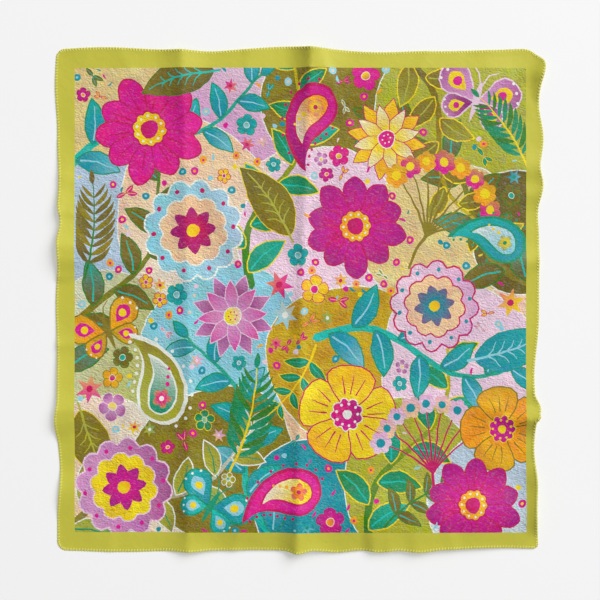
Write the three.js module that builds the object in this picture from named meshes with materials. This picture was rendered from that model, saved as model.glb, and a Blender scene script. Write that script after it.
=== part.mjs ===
// A square silk scarf laid out on a flat surface: one printed panel with a rolled,
// overlocked hem on each of its four sides. Soft folds lift it here and there.
// Millimetres, +Z up. X runs along the top edge and Y up the cloth, as it is looked at
// from above. The origin is on the surface, under the middle of the cloth.
import * as THREE from "three";

// Driving sizes.
const CLOTH_WALL = 1.4; // the panel's height from its underside to its face
const HEM_WIDTH = 3;
const HEM_HEIGHT = 2;
const SEAM_GAP = 0.3; // between the panel and a hem
const END_GAP = 0.5; // from the end of a hem to the middle of its corner
const PRINT = { left: -310.5, right: 312, top: 320, bottom: -320 };

// Each side of the cloth: the line that its edge keeps to on average, the way out of the
// cloth, and the way in which places along it are counted.
const SIDES = {
  top: { line: 345, out: [0, 1], along: [1, 0] },
  right: { line: 329.8, out: [1, 0], along: [0, 1] },
  bottom: { line: 345, out: [0, -1], along: [1, 0] },
  left: { line: 334.6, out: [-1, 0], along: [0, 1] },
};

// How the edge swings out of its line (or in, below zero): a smooth wave about a place
// along the side, with its reach to each side of that place.
const EDGE_WAVES = [
  { side: "top", at: -270, reach: 95, swing: 3.6 },
  { side: "top", at: -125, reach: 48, swing: -2.4 },
  { side: "top", at: -18, reach: 78, swing: 4.2 },
  { side: "top", at: 105, reach: 72, swing: -3.3 },
  { side: "top", at: 190, reach: 105, swing: -2.1 },
  { side: "top", at: 312, reach: 45, swing: 1.4 },
  { side: "right", at: 330, reach: 52, swing: 9 },
  { side: "right", at: 222, reach: 50, swing: 6 },
  { side: "right", at: 159, reach: 32, swing: 5.4 },
  { side: "right", at: 116, reach: 26, swing: -1.4 },
  { side: "right", at: -112, reach: 92, swing: -6.6 },
  { side: "right", at: -149, reach: 21, swing: 6.4 },
  { side: "right", at: -162.5, reach: 8, swing: 3.2 },
  { side: "right", at: -205, reach: 62, swing: -6.8 },
  { side: "right", at: -290, reach: 75, swing: -3.8 },
  { side: "bottom", at: -245, reach: 105, swing: 2.2 },
  { side: "bottom", at: -152, reach: 34, swing: 2.2 },
  { side: "bottom", at: -62, reach: 46, swing: -0.7 },
  { side: "bottom", at: -3, reach: 21, swing: 4 },
  { side: "bottom", at: 50, reach: 34, swing: 2.7 },
  { side: "bottom", at: 110, reach: 26, swing: 2.3 },
  { side: "bottom", at: 165, reach: 30, swing: 2.5 },
  { side: "bottom", at: 275, reach: 115, swing: -3.5 },
  { side: "left", at: 300, reach: 72, swing: 3 },
  { side: "left", at: 165, reach: 55, swing: -2.3 },
  { side: "left", at: 107, reach: 28, swing: -4.2 },
  { side: "left", at: 50, reach: 32, swing: -1.2 },
  { side: "left", at: -8, reach: 60, swing: 1.9 },
  { side: "left", at: -168, reach: 32, swing: 3.3 },
  { side: "left", at: -240, reach: 66, swing: -3.9 },
];

// The corners. Three are rounded by their hem. At the top right the tip is turned under,
// so the outline cuts across it, from a place on the top to a place on the right side,
// with a soft bend at each.
const CORNERS = {
  top_left: { x: "left", y: "top", round: 11 },
  bottom_left: { x: "left", y: "bottom", round: 13 },
  bottom_right: { x: "right", y: "bottom", round: 8 },
  top_right: { x: "right", y: "top", cut: { top: 315, right: 330 } },
};
const CUT_BEND = 8; // how far to each side of its place such a bend reaches
const CUT_COUNT = 26; // how far along a side the bend and half of the cut are counted
const BEND_COUNT = 0.6; // the bend's share of that

// The folds. Each is a ridge from one place to another, bowed to its left by some
// millimetres. Its lift is given at its start, along its middle and at its end, and the
// end lifts fade over its run. Its flanks reach out to its left and right, and its crest
// is sharp at 0 and round at 1.
const FOLDS = [
  {
    name: "upright_left", from: [-164, 350], to: [-154, -350], bow: 4,
    lift: [8.2, 2.2, 7], run: 120, left: 58, right: 46, crest: 0.15,
  },
  {
    name: "upright_middle", from: [15, 350], to: [-4, -350], bow: -3,
    lift: [13, 2.8, 10.5], run: 120, left: 68, right: 38, crest: 0.1,
  },
  {
    name: "level_upper", from: [-340, 76], to: [336, 54], bow: -52,
    lift: [0.8, 2.6, 1.8], run: 130, left: 40, right: 54, crest: 0.4,
  },
  {
    name: "level_lower", from: [-340, -152], to: [336, -150], bow: 12,
    lift: [2, 2.4, 3], run: 120, left: 38, right: 46, crest: 0.4,
  },
  {
    name: "slanting", from: [-140, 190], to: [-52, -40], bow: 6,
    lift: [0, 3, 0], run: 120, left: 44, right: 32, crest: 0.5,
  },
  {
    name: "top_left_rise", from: [-292, 350], to: [-296, 265], bow: 0,
    lift: [1.4, 0, 0], run: 86, left: 130, right: 40, crest: 0.8,
  },
  {
    name: "top_between_rise", from: [-62, 350], to: [-66, 280], bow: 0,
    lift: [2, 0, 0], run: 70, left: 40, right: 90, crest: 0.6,
  },
  {
    name: "top_right_rise", from: [262, 350], to: [250, 262], bow: 0,
    lift: [1.8, 0, 0], run: 88, left: 50, right: 48, crest: 0.8,
  },
  {
    name: "top_swell", from: [-260, 302], to: [300, 302], bow: 0,
    lift: [0, 3.6, 0], run: 80, left: 64, right: 60, crest: 0.8,
  },
  {
    name: "right_swell", from: [288, 270], to: [288, -90], bow: 0,
    lift: [0, 1.4, 0], run: 80, left: 48, right: 50, crest: 0.8,
  },
  {
    name: "corner_curl", from: [341, 332], to: [333, 262], bow: 0,
    lift: [1.6, 1, 0], run: 60, left: 20, right: 26, crest: 0.6,
  },
  {
    name: "right_upper", from: [336, 179], to: [262, 188], bow: 0,
    lift: [5, 0, 0], run: 74, left: 30, right: 38, crest: 0.6,
  },
  {
    name: "right_second", from: [336, 147], to: [272, 140], bow: 0,
    lift: [5, 0, 0], run: 64, left: 34, right: 26, crest: 0.6,
  },
  {
    name: "right_fourth", from: [336, -125], to: [240, -106], bow: 0,
    lift: [4.2, 0, 0], run: 96, left: 30, right: 34, crest: 0.6,
  },
  {
    name: "right_tuck", from: [336, -165], to: [236, -153], bow: 3,
    lift: [10.6, 0, 0], run: 100, left: 36, right: 25, crest: 0.2,
  },
  {
    name: "right_curl", from: [330, -178], to: [330, -318], bow: 0,
    lift: [0, 3, 0], run: 40, left: 10, right: 30, crest: 0.3,
  },
  {
    name: "right_curl_low", from: [333, -326], to: [330, -225], bow: 0,
    lift: [0, 5.5, 0], run: 28, left: 38, right: 10, crest: 0.3,
  },
  {
    name: "bottom_first", from: [-132, -350], to: [-128, -270], bow: 0,
    lift: [2.2, 0, 0], run: 80, left: 28, right: 100, crest: 1,
  },
  {
    name: "bottom_second", from: [16, -350], to: [20, -270], bow: 0,
    lift: [2.2, 0, 0], run: 80, left: 24, right: 100, crest: 1,
  },
  {
    name: "bottom_third", from: [104, -350], to: [92, -228], bow: 3,
    lift: [4.6, 0, 0], run: 122, left: 20, right: 210, crest: 0.35,
  },
  {
    name: "bottom_fourth", from: [163, -350], to: [158, -280], bow: 0,
    lift: [2.8, 0, 0], run: 70, left: 26, right: 140, crest: 0.35,
  },
  {
    name: "bottom_right_rise", from: [252, -350], to: [244, -262], bow: 0,
    lift: [1.6, 0, 0], run: 88, left: 60, right: 44, crest: 0.8,
  },
  {
    name: "bottom_swell", from: [-170, -298], to: [332, -300], bow: 0,
    lift: [0, 7.4, 3], run: 100, left: 64, right: 64, crest: 0.8,
  },
  {
    name: "left_upper_swell", from: [-340, 62], to: [-240, 48], bow: 0,
    lift: [7.4, 0, 0], run: 100, left: 165, right: 36, crest: 0.6,
  },
  {
    name: "left_lower_swell", from: [-340, -167], to: [-246, -159], bow: 0,
    lift: [6.2, 0, 0], run: 94, left: 230, right: 38, crest: 0.5,
  },
  {
    name: "left_lower_rise", from: [-340, -262], to: [-252, -252], bow: 0,
    lift: [5, 0, 0], run: 88, left: 40, right: 48, crest: 0.7,
  },
];
const NARROWEST_FLANK = 0.55; // of a flank's reach, where a fold fades to nothing

// The lines of the panel's net, closer where a fold runs along them.
const COLUMN_BANDS = [
  { to: -205, step: 21 },
  { to: -118, step: 11 },
  { to: -45, step: 18 },
  { to: 48, step: 10 },
  { to: 180, step: 17 },
  { to: PRINT.right, step: 22 },
];
const ROW_BANDS = [
  { to: -186, step: 17 },
  { to: -174, step: 6 },
  { to: -158, step: 4 },
  { to: -120, step: 9.5 },
  { to: -20, step: 18 },
  { to: 134, step: 12 },
  { to: 212, step: 10 },
  { to: PRINT.top, step: 18 },
];
const BORDER_STEPS = 3; // cells across the plain border

// A hem's section, as shares of its width from the panel outwards and of its height.
const HEM_SECTION = [
  { across: 0, up: 0 },
  { across: 0.8, up: 0 },
  { across: 1, up: 0.4 },
  { across: 0.75, up: 1 },
  { across: 0.25, up: 1 },
  { across: 0, up: 0.6 },
];

const silk = new THREE.MeshStandardMaterial({ color: 0xd58ba6, roughness: 0.55, metalness: 0 });
const hemSilk = new THREE.MeshStandardMaterial({ color: 0xc9c252, roughness: 0.6, metalness: 0 });

// 1 at the middle of a wave and 0 at its reach, with no kink at either.
function wave(distance, reach) {
  const share = Math.min(1, Math.abs(distance) / reach);
  return (1 + Math.cos(Math.PI * share)) / 2;
}

function swingOf(side, along) {
  return EDGE_WAVES.filter((row) => row.side === side).reduce(
    (sum, row) => sum + row.swing * wave(along - row.at, row.reach),
    0,
  );
}

// The place on a side's wavy line, before its corners are rounded.
function sideLine(side, along) {
  const { line, out, along: way } = SIDES[side];
  const far = line + swingOf(side, along);
  return [out[0] * far + way[0] * along, out[1] * far + way[1] * along];
}

function mix(a, b, share) {
  return [a[0] + (b[0] - a[0]) * share, a[1] + (b[1] - a[1]) * share];
}

function signOf(side) {
  return SIDES[side].out[0] + SIDES[side].out[1];
}

// Where a side ends at a corner, in its own count, and where the corner begins to take it.
function cornerEnd(side, corner) {
  const other = corner.x === side ? corner.y : corner.x;
  const sign = signOf(other);
  if (corner.cut) {
    const start = corner.cut[side] - sign * CUT_BEND;
    const near = sideLine(side, corner.cut[side]);
    const far = sideLine(other, corner.cut[other]);
    return { sign, start, end: start + sign * CUT_COUNT, near, far };
  }
  const end = sign * (SIDES[other].line + swingOf(other, signOf(side) * SIDES[side].line));
  return { sign, start: end - sign * corner.round, end };
}

// A point of a cut corner's outline: round the bend, then straight to the cut's middle.
function cutPoint(side, { start, near, far }, share) {
  const length = Math.hypot(far[0] - near[0], far[1] - near[1]);
  const past = mix(near, far, CUT_BEND / length);
  if (share > BEND_COUNT) {
    return mix(past, mix(near, far, 0.5), (share - BEND_COUNT) / (1 - BEND_COUNT));
  }
  const bent = share / BEND_COUNT;
  return mix(mix(sideLine(side, start), near, bent), mix(near, past, bent), bent);
}

// A point of the outline: along a side, and round to the middle of each of its corners.
function outlinePoint(side, along) {
  for (const corner of Object.values(CORNERS)) {
    if (corner.x !== side && corner.y !== side) continue;
    const ends = cornerEnd(side, corner);
    const { sign, start, end } = ends;
    const share = Math.min(1, (along - start) / (end - start));
    if (share <= 0) continue;
    if (corner.cut) return cutPoint(side, ends, share);
    const angle = (share * Math.PI) / 4;
    const { out, along: way } = SIDES[side];
    const point = sideLine(side, start + sign * corner.round * Math.sin(angle));
    const back = corner.round * (1 - Math.cos(angle));
    return [point[0] - out[0] * back, point[1] - out[1] * back];
  }
  return sideLine(side, along);
}

function sideEnds(side) {
  const ends = Object.values(CORNERS)
    .filter((corner) => corner.x === side || corner.y === side)
    .map((corner) => cornerEnd(side, corner));
  return {
    low: ends.find((e) => e.sign < 0).end,
    high: ends.find((e) => e.sign > 0).end,
  };
}

// The same point moved into the cloth, square to the outline, whose direction is taken
// from the points half a millimetre to each side.
function insetPoint(side, along, inset) {
  const { low, high } = sideEnds(side);
  const before = outlinePoint(side, Math.max(low, along - 0.5));
  const after = outlinePoint(side, Math.min(high, along + 0.5));
  const [x, y] = outlinePoint(side, along);
  const [dx, dy] = [after[0] - before[0], after[1] - before[1]];
  const { out } = SIDES[side];
  const turn = dy * out[0] - dx * out[1] > 0 ? -1 : 1;
  const share = (turn * inset) / Math.hypot(dx, dy);
  return [x + dy * share, y - dx * share];
}

// The lift of one fold over the surface at a place.
function foldLift(fold, x, y) {
  const [dx, dy] = [fold.to[0] - fold.from[0], fold.to[1] - fold.from[1]];
  const length = Math.hypot(dx, dy);
  const [px, py] = [x - fold.from[0], y - fold.from[1]];
  const along = THREE.MathUtils.clamp((px * dx + py * dy) / length, 0, length);
  const aside = (dx * py - dy * px) / length - fold.bow * Math.sin((Math.PI * along) / length);
  const [start, middle, end] = fold.lift;
  const nearStart = Math.max(0, 1 - along / fold.run) ** 2;
  const nearEnd = Math.max(0, 1 - (length - along) / fold.run) ** 2;
  const lift = middle + (start - middle) * nearStart + (end - middle) * nearEnd;
  const most = Math.max(start, middle, end);
  const spread = NARROWEST_FLANK + ((1 - NARROWEST_FLANK) * lift) / most;
  const flank = (aside > 0 ? fold.left : fold.right) * spread;
  const share = Math.abs(aside) / flank;
  if (share >= 1) return 0;
  const soft = Math.hypot(share, fold.crest) - fold.crest;
  return lift * (1 - soft / (Math.hypot(1, fold.crest) - fold.crest)) ** 2;
}

function liftAt(x, y) {
  return FOLDS.reduce((sum, fold) => sum + foldLift(fold, x, y), 0);
}

function bandLines(start, bands) {
  const lines = [start];
  for (const { to, step } of bands) {
    const from = lines.at(-1);
    const count = Math.round((to - from) / step);
    for (let i = 1; i <= count; i++) lines.push(from + ((to - from) * i) / count);
  }
  return lines;
}

// Places across the cloth in one direction: a border, the print and the other border.
// A border's place has the share of the border that it lies at, and its side.
function netPlaces(lines, low, high) {
  const places = lines.map((line) => ({ line, share: 0 }));
  for (let i = 1; i <= BORDER_STEPS; i++) {
    places.unshift({ line: lines[0], share: i / BORDER_STEPS, side: low });
    places.push({ line: lines.at(-1), share: i / BORDER_STEPS, side: high });
  }
  return places;
}

const COLUMNS = netPlaces(bandLines(PRINT.left, COLUMN_BANDS), "left", "right");
const ROWS = netPlaces(bandLines(PRINT.bottom, ROW_BANDS), "bottom", "top");

// The panel's edge stops short of the outline by the hem and its seam.
function panelEdge(side, along) {
  return insetPoint(side, along, HEM_WIDTH + SEAM_GAP);
}

// A place in a corner of the border, blended from the four curves around it.
function cornerPlace(column, row) {
  const { low: xLow, high: xHigh } = sideEnds(row.side);
  const { low: yLow, high: yHigh } = sideEnds(column.side);
  const xEnd = column.side === "left" ? xLow : xHigh;
  const yEnd = row.side === "bottom" ? yLow : yHigh;
  const [a, b] = [column.share, row.share];
  const inner = [column.line, row.line];
  const onRow = panelEdge(row.side, column.line);
  const onColumn = panelEdge(column.side, row.line);
  const tip = panelEdge(row.side, xEnd);
  const outerRow = panelEdge(row.side, column.line + (xEnd - column.line) * a);
  const outerColumn = panelEdge(column.side, row.line + (yEnd - row.line) * b);
  const blend = (k) =>
    (1 - b) * mix(inner, onColumn, a)[k] +
    b * outerRow[k] +
    (1 - a) * mix(inner, onRow, b)[k] +
    a * outerColumn[k] -
    ((1 - a) * (1 - b) * inner[k] + a * (1 - b) * onColumn[k] + (1 - a) * b * onRow[k] + a * b * tip[k]);
  return [blend(0), blend(1)];
}

function netPoint(column, row) {
  if (column.share && row.share) return cornerPlace(column, row);
  const inner = [column.line, row.line];
  if (row.share) return mix(inner, panelEdge(row.side, column.line), row.share);
  if (column.share) return mix(inner, panelEdge(column.side, row.line), column.share);
  return inner;
}

function geometryOf(points, faces) {
  const geometry = new THREE.BufferGeometry();
  geometry.setAttribute("position", new THREE.Float32BufferAttribute(points.flat(), 3));
  geometry.setIndex(faces.flat());
  geometry.computeVertexNormals();
  return geometry;
}

// Two triangles on four points that run round anticlockwise, seen from outside.
function quad(a, b, c, d) {
  return [
    [a, b, c],
    [a, c, d],
  ];
}

// The places of the net's lines along one side, out to the ends of that side.
function edgeStations(side) {
  const { low, high } = sideEnds(side);
  const places = SIDES[side].along[0] ? COLUMNS : ROWS;
  return places.map(({ line, share }, i) => {
    const end = i < places.length / 2 ? low : high;
    return line + (end - line) * share;
  });
}

// The panel: a net of points over the surface, and the same net raised by the wall.
function panelGeometry() {
  const under = ROWS.flatMap((row) =>
    COLUMNS.map((column) => {
      const [x, y] = netPoint(column, row);
      return [x, y, liftAt(x, y)];
    }),
  );
  const face = under.map(([x, y, z]) => [x, y, z + CLOTH_WALL]);
  const wide = COLUMNS.length;
  const high = ROWS.length;
  const above = under.length;
  const faces = [];
  for (let j = 0; j < high - 1; j++)
    for (let i = 0; i < wide - 1; i++) {
      const k = j * wide + i;
      faces.push(...quad(above + k, above + k + 1, above + k + wide + 1, above + k + wide));
      faces.push(...quad(k, k + wide, k + wide + 1, k + 1));
    }
  const rim = [
    ...Array.from({ length: wide - 1 }, (_, i) => i),
    ...Array.from({ length: high - 1 }, (_, j) => j * wide + wide - 1),
    ...Array.from({ length: wide - 1 }, (_, i) => high * wide - 1 - i),
    ...Array.from({ length: high - 1 }, (_, j) => (high - 1 - j) * wide),
  ];
  rim.forEach((from, i) => {
    const to = rim[(i + 1) % rim.length];
    faces.push(...quad(from, to, above + to, above + from));
  });
  return geometryOf([...under, ...face], faces);
}

// A hem: a low rounded bar along the outline, from the middle of one corner to the next,
// with a section beside each place of the panel's edge.
function hemGeometry(side) {
  const stations = edgeStations(side);
  stations[0] += END_GAP;
  stations[stations.length - 1] -= END_GAP;
  const points = [];
  for (const along of stations) {
    const outer = insetPoint(side, along, 0);
    const inner = insetPoint(side, along, HEM_WIDTH);
    for (const { across, up } of HEM_SECTION) {
      const [x, y] = mix(inner, outer, across);
      points.push([x, y, liftAt(x, y) + up * HEM_HEIGHT]);
    }
  }
  const corners = HEM_SECTION.length;
  const lengths = stations.length - 1;
  const last = lengths * corners;
  const faces = [];
  for (let i = 0; i < lengths; i++)
    for (let k = 0; k < corners; k++) {
      const next = (k + 1) % corners;
      const ring = i * corners;
      faces.push(...quad(ring + k, ring + next, ring + corners + next, ring + corners + k));
    }
  for (let k = 1; k < corners - 1; k++) {
    faces.push([0, k + 1, k]);
    faces.push([last, last + k, last + k + 1]);
  }
  const turned = side === "right" || side === "bottom";
  return geometryOf(points, turned ? faces.map(([a, b, c]) => [a, c, b]) : faces);
}

const scarf = new THREE.Group();
const panel = new THREE.Mesh(panelGeometry(), silk);
panel.name = "panel";
scarf.add(panel);
for (const side of Object.keys(SIDES)) {
  const hem = new THREE.Mesh(hemGeometry(side), hemSilk);
  hem.name = `hem_${side}`;
  scarf.add(hem);
}

// The origin is set under the middle of the whole cloth.
const middle = new THREE.Box3().setFromObject(scarf).getCenter(new THREE.Vector3());
scarf.position.set(-middle.x, -middle.y, 0);

export default scarf;
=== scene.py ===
"""A printed square silk scarf laid out flat, with its folds in it.

The silk is one thin shell. Its artwork is cut into the mesh as painted shapes, each with
its own ink, so that the print has clean edges from near and far. The rolled hem and the
overlock stitches round it are pieces of their own, one of each on every side.

Lengths in the tables are millimetres. The cut is the flat cloth, with its middle at 0, 0.
The laid cloth is the same silk as it lies on the surface.
"""

import cmath
import math
import random

import bpy
import numpy as np
from bpy.props import FloatProperty, FloatVectorProperty, IntProperty, PointerProperty
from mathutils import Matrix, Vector, geometry, noise


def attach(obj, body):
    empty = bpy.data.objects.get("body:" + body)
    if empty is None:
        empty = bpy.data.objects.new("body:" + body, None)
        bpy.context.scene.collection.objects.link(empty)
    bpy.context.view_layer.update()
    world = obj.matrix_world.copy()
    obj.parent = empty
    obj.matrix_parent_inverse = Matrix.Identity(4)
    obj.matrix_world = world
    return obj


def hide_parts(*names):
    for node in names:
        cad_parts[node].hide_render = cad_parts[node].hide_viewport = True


bl_info = {
    "name": "Silk square scarf",
    "version": (1, 0, 0),
    "blender": (4, 5, 0),
    "location": "3D View > Sidebar > Silk scarf",
    "description": "Lays out a printed square silk scarf with a rolled and overlocked hem",
    "category": "Add Mesh",
}

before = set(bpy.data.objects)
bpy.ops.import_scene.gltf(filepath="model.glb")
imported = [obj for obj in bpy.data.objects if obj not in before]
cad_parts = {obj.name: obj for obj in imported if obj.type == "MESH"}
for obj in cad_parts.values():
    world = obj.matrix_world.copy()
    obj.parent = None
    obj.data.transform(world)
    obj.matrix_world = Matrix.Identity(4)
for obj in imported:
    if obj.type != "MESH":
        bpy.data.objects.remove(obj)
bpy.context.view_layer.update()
MM = 0.001

# The laid cloth
CUT_HALF = 350.0
PRINT_HALF = 320.0
PRINT = {"left": -310.5, "right": 312.0, "top": 320.0, "bottom": -320.0}

# Each side: the line that its edge keeps to on average, the way out of the cloth and the
# way in which places along it are counted, as complex numbers.
SIDES = {
    "top": {"line": 345.0, "out": 1j, "along": 1},
    "right": {"line": 329.8, "out": 1, "along": 1j},
    "bottom": {"line": 345.0, "out": -1j, "along": 1},
    "left": {"line": 334.6, "out": -1, "along": 1j},
}

# How an edge swings out of its line: place along the side, reach to each side, swing.
EDGE_WAVES = {
    "top": [
        {"at": -270, "reach": 95, "swing": 3.6},
        {"at": -125, "reach": 48, "swing": -2.4},
        {"at": -18, "reach": 78, "swing": 4.2},
        {"at": 105, "reach": 72, "swing": -3.3},
        {"at": 190, "reach": 105, "swing": -2.1},
        {"at": 312, "reach": 45, "swing": 1.4},
    ],
    "right": [
        {"at": 330, "reach": 52, "swing": 9},
        {"at": 222, "reach": 50, "swing": 6},
        {"at": 159, "reach": 32, "swing": 5.4},
        {"at": 116, "reach": 26, "swing": -1.4},
        {"at": -112, "reach": 92, "swing": -6.6},
        {"at": -149, "reach": 21, "swing": 6.4},
        {"at": -162.5, "reach": 8, "swing": 3.2},
        {"at": -205, "reach": 62, "swing": -6.8},
        {"at": -290, "reach": 75, "swing": -3.8},
    ],
    "bottom": [
        {"at": -245, "reach": 105, "swing": 2.2},
        {"at": -152, "reach": 34, "swing": 2.2},
        {"at": -62, "reach": 46, "swing": -0.7},
        {"at": -3, "reach": 21, "swing": 4},
        {"at": 50, "reach": 34, "swing": 2.7},
        {"at": 110, "reach": 26, "swing": 2.3},
        {"at": 165, "reach": 30, "swing": 2.5},
        {"at": 275, "reach": 115, "swing": -3.5},
    ],
    "left": [
        {"at": 300, "reach": 72, "swing": 3},
        {"at": 165, "reach": 55, "swing": -2.3},
        {"at": 107, "reach": 28, "swing": -4.2},
        {"at": 50, "reach": 32, "swing": -1.2},
        {"at": -8, "reach": 60, "swing": 1.9},
        {"at": -168, "reach": 32, "swing": 3.3},
        {"at": -240, "reach": 66, "swing": -3.9},
    ],
}

# Three corners are rounded. The tip of the last is turned under, so the outline cuts
# across it from a place on the top to a place on the right side, with a bend at each.
CORNERS = [
    {"x": "left", "y": "top", "round": 11},
    {"x": "left", "y": "bottom", "round": 13},
    {"x": "right", "y": "bottom", "round": 8},
    {"x": "right", "y": "top", "cut": {"top": 315, "right": 330}},
]
CUT_BEND = 8  # how far to each side of its place such a bend reaches
CUT_COUNT = 26  # how far along a side the bend and half of the cut are counted
BEND_COUNT = 0.6  # the bend's share of that

# A ridge runs from one place to another, bowed to its left. Its lift is given at its
# start, along its middle and at its end, and the end lifts fade over its run. Its flanks
# reach out to its left and right, and its crest is sharp at 0 and round at 1.
RIDGE = ("start", "stop", "bow", "lifts", "run", "left", "right", "crest")
FOLDS = {
    "upright_left": (-164 + 350j, -154 - 350j, 4, (8.2, 2.2, 7), 120, 58, 46, 0.15),
    "upright_middle": (15 + 350j, -4 - 350j, -3, (13, 2.8, 10.5), 120, 68, 38, 0.1),
    "level_upper": (-340 + 76j, 336 + 54j, -52, (0.8, 2.6, 1.8), 130, 40, 54, 0.4),
    "level_lower": (-340 - 152j, 336 - 150j, 12, (2, 2.4, 3), 120, 38, 46, 0.4),
    "slanting": (-140 + 190j, -52 - 40j, 6, (0, 3, 0), 120, 44, 32, 0.5),
    "top_left_rise": (-292 + 350j, -296 + 265j, 0, (1.4, 0, 0), 86, 130, 40, 0.8),
    "top_between_rise": (-62 + 350j, -66 + 280j, 0, (2, 0, 0), 70, 40, 90, 0.6),
    "top_right_rise": (262 + 350j, 250 + 262j, 0, (1.8, 0, 0), 88, 50, 48, 0.8),
    "top_swell": (-260 + 302j, 300 + 302j, 0, (0, 3.6, 0), 80, 64, 60, 0.8),
    "right_swell": (288 + 270j, 288 - 90j, 0, (0, 1.4, 0), 80, 48, 50, 0.8),
    "corner_curl": (341 + 332j, 333 + 262j, 0, (1.6, 1, 0), 60, 20, 26, 0.6),
    "right_upper": (336 + 179j, 262 + 188j, 0, (5, 0, 0), 74, 30, 38, 0.6),
    "right_second": (336 + 147j, 272 + 140j, 0, (5, 0, 0), 64, 34, 26, 0.6),
    "right_fourth": (336 - 125j, 240 - 106j, 0, (4.2, 0, 0), 96, 30, 34, 0.6),
    "right_tuck": (336 - 165j, 236 - 153j, 3, (10.6, 0, 0), 100, 36, 25, 0.2),
    "right_curl": (330 - 178j, 330 - 318j, 0, (0, 3, 0), 40, 10, 30, 0.3),
    "right_curl_low": (333 - 326j, 330 - 225j, 0, (0, 5.5, 0), 28, 38, 10, 0.3),
    "bottom_first": (-132 - 350j, -128 - 270j, 0, (2.2, 0, 0), 80, 28, 100, 1),
    "bottom_second": (16 - 350j, 20 - 270j, 0, (2.2, 0, 0), 80, 24, 100, 1),
    "bottom_third": (104 - 350j, 92 - 228j, 3, (4.6, 0, 0), 122, 20, 210, 0.35),
    "bottom_fourth": (163 - 350j, 158 - 280j, 0, (2.8, 0, 0), 70, 26, 140, 0.35),
    "bottom_right_rise": (252 - 350j, 244 - 262j, 0, (1.6, 0, 0), 88, 60, 44, 0.8),
    "bottom_swell": (-170 - 298j, 332 - 300j, 0, (0, 7.4, 3), 100, 64, 64, 0.8),
    "left_upper_swell": (-340 + 62j, -240 + 48j, 0, (7.4, 0, 0), 100, 165, 36, 0.6),
    "left_lower_swell": (-340 - 167j, -246 - 159j, 0, (6.2, 0, 0), 94, 230, 38, 0.5),
    "left_lower_rise": (-340 - 262j, -252 - 252j, 0, (5, 0, 0), 88, 40, 48, 0.7),
}
# Finer creases, too small for the solid
CREASES = {
    "upper_drag": (-236 + 322j, -170 + 196j, 6, (0.6, 1.1, 0), 60, 16, 22, 0.3),
    "middle_drag": (30 + 336j, 92 + 208j, -6, (1.4, 0.9, 0), 60, 16, 24, 0.3),
    "slant_second": (-84 + 96j, 24 - 70j, 8, (0, 1.3, 0), 60, 22, 16, 0.4),
    "slant_third": (-196 + 34j, -122 - 118j, -8, (0, 1.2, 0), 60, 18, 20, 0.4),
    "right_long": (306 + 48j, 148 + 6j, 8, (1.6, 1.0, 0), 90, 18, 26, 0.3),
    "right_third": (336 + 51j, 286 + 46j, 0, (1.8, 0, 0), 50, 18, 60, 0.4),
    "corner_dent": (342 + 316j, 296 + 303j, 0, (6, 0.4, 0), 46, 28, 30, 0.6),
    "bottom_left": (-262 - 346j, -238 - 250j, 5, (0.7, 0.5, 0), 60, 18, 14, 0.3),
    "bottom_between": (-92 - 348j, -80 - 262j, -4, (1.5, 0.6, 0), 60, 16, 20, 0.3),
    "bottom_notch": (122 - 350j, 118 - 300j, 0, (1, 0, 0), 50, 9, 40, 0.3),
    "bottom_right": (214 - 346j, 190 - 232j, 6, (0.6, 0.7, 0), 70, 20, 14, 0.3),
    "top_between": (-72 + 346j, -84 + 262j, 4, (0.7, 0.6, 0), 60, 20, 14, 0.3),
    "top_far": (176 + 343j, 158 + 240j, -6, (0.8, 0.8, 0), 70, 14, 20, 0.3),
    "left_high": (-336 + 172j, -246 + 160j, -5, (0.6, 0.7, 0), 60, 14, 18, 0.3),
    "left_shoulder": (-340 + 121j, -262 + 112j, 0, (2.4, 0.3, 0), 60, 120, 9, 0.4),
    "left_second": (-340 + 34j, -262 + 24j, 3, (3.6, 0.3, 0), 60, 180, 15, 0.35),
    "left_low": (-338 - 62j, -252 - 74j, 5, (1.6, 0.7, 0), 60, 18, 14, 0.3),
    "corner_roll": (334 + 322j, 329 + 272j, 0, (0.4, 3, 0), 26, 12, 18, 0.4),
    "left_pleat": (-163 + 320j, -154 - 320j, 4, (0.5, 0.8, 0.6), 80, 12, 10, 0.2),
    "middle_pleat": (14 + 320j, -4 - 320j, -3, (0.8, 1, 0.5), 80, 13, 10, 0.2),
    "upper_pleat": (-312 + 75j, 312 + 57j, -52, (0.6, 0.5, 0.5), 80, 9, 12, 0.3),
    "lower_pleat": (-312 - 152j, 312 - 150j, 12, (0.6, 0.5, 0.6), 80, 9, 12, 0.3),
}
NARROWEST_FLANK = 0.55

# The ground of the print: patches of pale ink, as centre, radius and ink
PATCHES = [
    (-268 + 276j, 128, "sand"),
    (-96 + 290j, 112, "orchid"),
    (66 + 284j, 120, "khaki"),
    (248 + 262j, 132, "lime"),
    (-292 + 86j, 116, "mist"),
    (-146 + 120j, 122, "peach"),
    (34 + 92j, 118, "blush"),
    (196 + 84j, 110, "sand"),
    (318 + 96j, 84, "olive"),
    (-262 - 84j, 118, "lime"),
    (-106 - 60j, 112, "sky"),
    (62 - 84j, 110, "mustard"),
    (226 - 96j, 122, "blush"),
    (-274 - 262j, 124, "peach"),
    (-120 - 226j, 112, "khaki"),
    (24 - 282j, 96, "teal"),
    (158 - 244j, 104, "lime"),
    (292 - 276j, 108, "mist"),
]

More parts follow.
